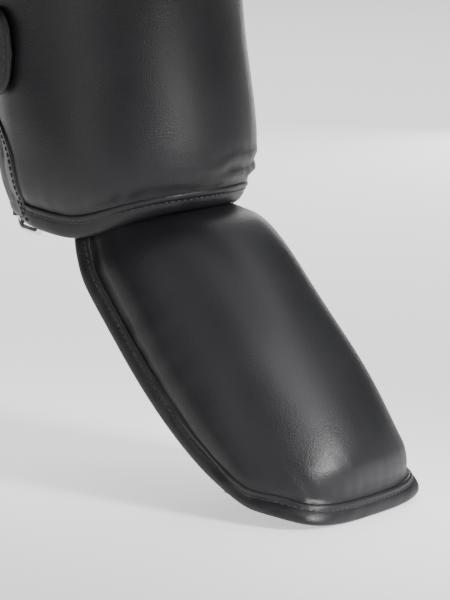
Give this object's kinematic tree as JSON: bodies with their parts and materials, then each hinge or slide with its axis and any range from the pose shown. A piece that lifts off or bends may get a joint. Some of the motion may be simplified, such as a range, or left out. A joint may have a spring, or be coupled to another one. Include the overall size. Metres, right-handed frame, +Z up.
{
  "type": "shin and instep guard",
  "caption": "Padded leg guard: a curved shin pad hinged at the ankle crease to an arched instep pad, with hook-and-loop straps and an elastic foot band.",
  "frame": {"origin": "on the leg's axis, level with the crease at the front of the ankle", "axes": "+Z up the leg, -Y the front of the leg, +X the inner side, where the straps are sewn"},
  "size_m": [0.1792, 0.2969, 0.5408],
  "materials": {
    "leather": "semi-gloss pebbled black synthetic leather",
    "impact_foam": "dense closed-cell foam",
    "backing_foam": "soft foam",
    "lining": "smooth woven nylon",
    "elastic_webbing": "ribbed elastic webbing",
    "hook_and_loop": "hook and loop pile",
    "ring_metal": "bright nickel plate"
  },
  "bodies": {
    "shin_pad": {"shin_cover": "leather", "shin_impact_foam": "impact_foam", "shin_backing_foam": "backing_foam", "shin_lining": "lining", "shin_hem_binding": "leather", "shin_top_binding": "leather", "outer_side_binding": "leather", "inner_side_binding": "leather", "crease_gusset": "leather", "outer_wing_patch": "leather", "inner_wing_patch": "leather", "lower_loop_panel": "hook_and_loop", "upper_loop_panel": "hook_and_loop", "ankle_loop_panel": "hook_and_loop", "lower_strap_anchor": "leather", "upper_strap_anchor": "leather", "ring_keeper": "leather", "strap_ring": "ring_metal"},
    "instep_pad": {"instep_cover": "leather", "instep_impact_foam": "impact_foam", "instep_backing_foam": "backing_foam", "instep_lining": "lining", "instep_edge_binding": "leather", "instep_crease_binding": "leather", "foot_band": "elastic_webbing", "outer_band_anchor": "leather", "inner_band_anchor": "leather"},
    "lower_strap": {"lower_strap_band": "elastic_webbing"},
    "lower_tab": {"lower_strap_tab": "leather", "lower_strap_hook": "hook_and_loop"},
    "upper_strap": {"upper_strap_band": "elastic_webbing"},
    "upper_tab": {"upper_strap_tab": "leather", "upper_strap_hook": "hook_and_loop"},
    "ankle_strap": {"ankle_strap_band": "elastic_webbing"},
    "ankle_tab": {"ankle_strap_tab": "leather", "ankle_strap_hook": "hook_and_loop"}
  },
  "joints": [
    {"name": "instep_hinge", "type": "hinge", "parent": "shin_pad", "child": "instep_pad", "pos_m": [0, -0.066, 0.01], "axis": [1, 0, 0], "range_deg": [-25, 15], "stiffness_Nm_per_rad": 1.2},
    {"name": "lower_strap_swing", "type": "hinge", "parent": "shin_pad", "child": "lower_strap", "pos_m": [0.06276, 0.05985, 0.097], "axis": [0.0372, 0.1732, 0.9842], "range_deg": [-100, 0]},
    {"name": "lower_tab_peel", "type": "hinge", "parent": "lower_strap", "child": "lower_tab", "pos_m": [-0.06276, 0.05985, 0.097], "axis": [-0.0372, 0.1732, 0.9842], "range_deg": [-100, 0]},
    {"name": "upper_strap_swing", "type": "hinge", "parent": "shin_pad", "child": "upper_strap", "pos_m": [0.06961, 0.08096, 0.287], "axis": [0.0117, 0.0074, 0.9999], "range_deg": [-100, 0]},
    {"name": "upper_tab_peel", "type": "hinge", "parent": "upper_strap", "child": "upper_tab", "pos_m": [-0.06961, 0.08096, 0.287], "axis": [-0.0117, 0.0074, 0.9999], "range_deg": [-100, 0]},
    {"name": "ankle_strap_swing", "type": "hinge", "parent": "shin_pad", "child": "ankle_strap", "pos_m": [-0.03957, 0.04024, 0.015], "axis": [-0.0637, 0.0284, 0.9976], "range_deg": [0, 85]},
    {"name": "ankle_tab_peel", "type": "hinge", "parent": "ankle_strap", "child": "ankle_tab", "pos_m": [0.05869, 0.04233, 0.014], "axis": [0.2086, 0.0911, 0.9738], "range_deg": [0, 100]}
  ]
}
